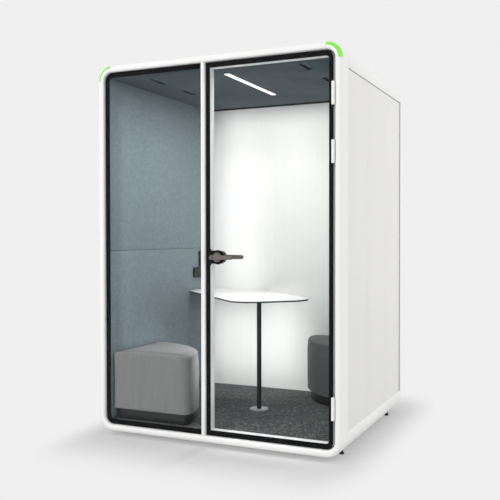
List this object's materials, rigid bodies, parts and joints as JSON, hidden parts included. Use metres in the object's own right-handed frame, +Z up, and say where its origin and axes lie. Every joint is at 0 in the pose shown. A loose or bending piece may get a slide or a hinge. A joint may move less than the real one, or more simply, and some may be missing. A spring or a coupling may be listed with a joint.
{
  "type": "acoustic office pod",
  "caption": "Free-standing acoustic office pod: rounded white cabin with glazed front, hinged glass door with lever, felt walls, diagonal table and padded stools.",
  "frame": {"origin": "centre of the bounding box on the ground, under the levelling feet", "axes": "+Z up, +Y from the glazed front to the back wall, +X to the hinge side of the door"},
  "size_m": [1.59, 1.472, 2.3],
  "materials": {
    "white_frame": "white powder coat, satin",
    "white_board": "white laminate, matt",
    "base_board": "dark coated board",
    "slate_felt": "pressed felt, slate blue grey",
    "dark_felt": "pressed felt, dark slate",
    "carpet": "carpet, dark grey, flecked",
    "clear_glass": "clear glass",
    "black_border": "black border",
    "black_plastic": "black, matt",
    "black_rubber": "black rubber",
    "bronze_metal": "brown grey, satin",
    "satin_steel": "satin",
    "dark_metal": "charcoal powder coat",
    "white_laminate": "white laminate, dark edge",
    "grey_fabric": "woven, mid grey",
    "dark_fabric": "woven, charcoal",
    "green_light": "lit green cover",
    "opal_cover": "lit opal cover"
  },
  "bodies": {
    "shell": {"front_frame": "white_frame", "rear_frame": "white_frame", "rail_bottom_left": "white_frame", "rail_bottom_right": "white_frame", "rail_top_left": "white_frame", "rail_top_right": "white_frame", "mullion": "white_frame", "hinge_frame_leaf_1": "white_frame", "hinge_frame_leaf_2": "white_frame", "hinge_frame_leaf_3": "white_frame", "side_panel_left": "white_board", "side_panel_right": "white_board", "roof_panel": "white_board", "back_panel": "white_board", "base_deck": "base_board", "felt_left_lower": "slate_felt", "felt_left_upper": "slate_felt", "felt_right_lower": "slate_felt", "felt_right_upper": "slate_felt", "ceiling_panel": "dark_felt", "carpet": "carpet", "fixed_glass": "clear_glass", "fixed_border": "black_border", "vent_grille_left": "black_plastic", "vent_grille_right": "black_plastic", "fan_housing": "black_plastic", "outlet_box": "black_plastic", "control_panel": "black_plastic", "lamp_housing": "satin_steel", "lamp_diffuser": "opal_cover", "status_light_left": "green_light", "status_light_right": "green_light", "table_top": "white_laminate", "table_column": "dark_metal", "table_flange": "satin_steel"},
    "door": {"door_glass": "clear_glass", "door_border": "black_border", "door_stile_free": "white_frame", "door_stile_hinge": "white_frame", "door_rail_top": "white_frame", "door_rail_bottom": "white_frame", "door_seal": "black_rubber", "hinge_door_leaf_1": "white_frame", "hinge_door_leaf_2": "white_frame", "hinge_door_leaf_3": "white_frame", "lock_case": "black_plastic", "handle_rose": "bronze_metal"},
    "lever": {"lever_outer": "bronze_metal", "lever_inner": "bronze_metal"},
    "latch": {"latch_bolt": "satin_steel"},
    "fan": {"fan_rotor": "black_plastic"},
    "key": {"control_key": "dark_metal"},
    "stool_front": {"stool_front_plinth": "black_plastic", "stool_front_cushion": "grey_fabric"},
    "stool_rear": {"stool_rear_plinth": "black_plastic", "stool_rear_cushion": "dark_fabric"},
    "foot_front_left": {"foot_front_left": "black_rubber"},
    "foot_front_right": {"foot_front_right": "black_rubber"},
    "foot_rear_left": {"foot_rear_left": "black_rubber"},
    "foot_rear_right": {"foot_rear_right": "black_rubber"}
  },
  "joints": [
    {"name": "door_swing", "type": "hinge", "parent": "shell", "child": "door", "pos_m": [0.746, -0.688, 1.162], "axis": [0, 0, 1], "range_deg": [0, 105]},
    {"name": "lever_turn", "type": "hinge", "parent": "door", "child": "lever", "pos_m": [0.036, -0.684, 1.119], "axis": [0, 1, 0], "range_deg": [0, 45], "stiffness_Nm_per_rad": 1.5, "springref_deg": -34.38},
    {"name": "latch_slide", "type": "slide", "parent": "door", "child": "latch", "axis": [1, 0, 0], "range_m": [0, 0.014]},
    {"name": "fan_spin", "type": "hinge", "parent": "shell", "child": "fan", "pos_m": [0.5, -0.046, 2.258], "axis": [0, 0, 1], "continuous": true},
    {"name": "key_press", "type": "slide", "parent": "shell", "child": "key", "axis": [-1, 0, 0], "range_m": [0, 0.0015], "stiffness_N_per_m": 600},
    {"name": "stool_front_slide", "type": "slide", "parent": "shell", "child": "stool_front", "axis": [0, 1, 0], "range_m": [0, 0.3]},
    {"name": "stool_rear_slide", "type": "slide", "parent": "shell", "child": "stool_rear", "axis": [-1, 0, 0], "range_m": [0, 0.3]},
    {"name": "foot_front_left_level", "type": "slide", "parent": "shell", "child": "foot_front_left", "axis": [0, 0, -1], "range_m": [0, 0.015]},
    {"name": "foot_front_right_level", "type": "slide", "parent": "shell", "child": "foot_front_right", "axis": [0, 0, -1], "range_m": [0, 0.015]},
    {"name": "foot_rear_left_level", "type": "slide", "parent": "shell", "child": "foot_rear_left", "axis": [0, 0, -1], "range_m": [0, 0.015]},
    {"name": "foot_rear_right_level", "type": "slide", "parent": "shell", "child": "foot_rear_right", "axis": [0, 0, -1], "range_m": [0, 0.015]}
  ],
  "couplings": [
    {"joint": "latch_slide", "follows": "lever_turn", "m_per_rad": 0.0178}
  ]
}
